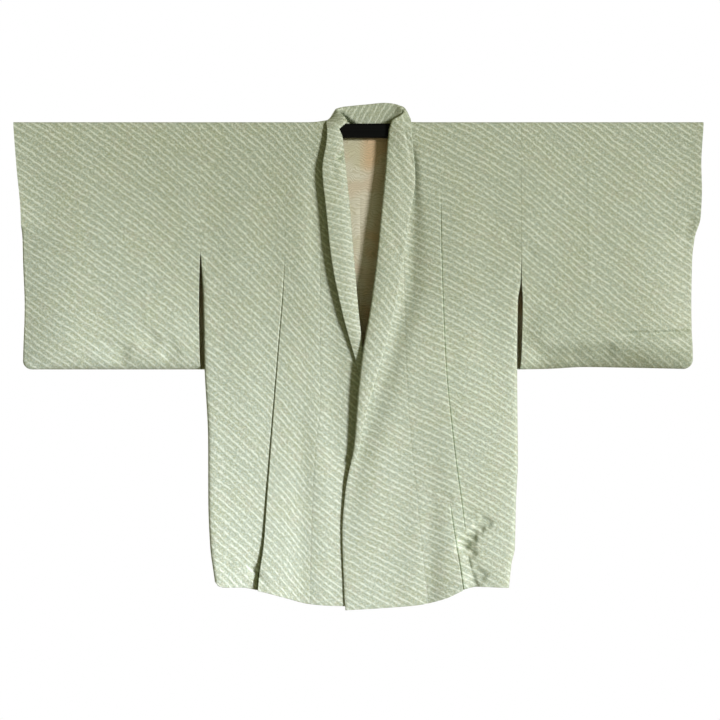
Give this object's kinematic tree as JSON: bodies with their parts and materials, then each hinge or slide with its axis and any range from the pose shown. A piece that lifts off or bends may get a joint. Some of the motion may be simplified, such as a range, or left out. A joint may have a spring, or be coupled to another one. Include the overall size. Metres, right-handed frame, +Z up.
{
  "type": "kimono coat hanging on a straight bar",
  "caption": "Lined silk kimono coat with a folded shawl collar, overlapping fronts and open bag sleeves, hanging on a flat bar that runs through both sleeves.",
  "frame": {"origin": "middle of the hanging bar that carries the coat", "axes": "+Z up, +X along the bar towards the wearer's left sleeve, and -Y is the side that the coat's front faces"},
  "size_m": [1.316, 0.0737, 0.9662],
  "materials": {
    "silk": "soft sage green silk with thin pale diagonal stripes and a light sheen",
    "lining": "smooth cream silk lining with a faint figured weave",
    "bar": "black, satin"
  },
  "bodies": {
    "root": {"hanging_bar": "bar", "body_left": "silk", "overlap_left": "silk", "sleeve_left": "silk", "lining_left": "lining", "body_right": "silk", "overlap_right": "silk", "sleeve_right": "silk", "lining_right": "lining", "collar": "silk"}
  },
  "joints": []
}
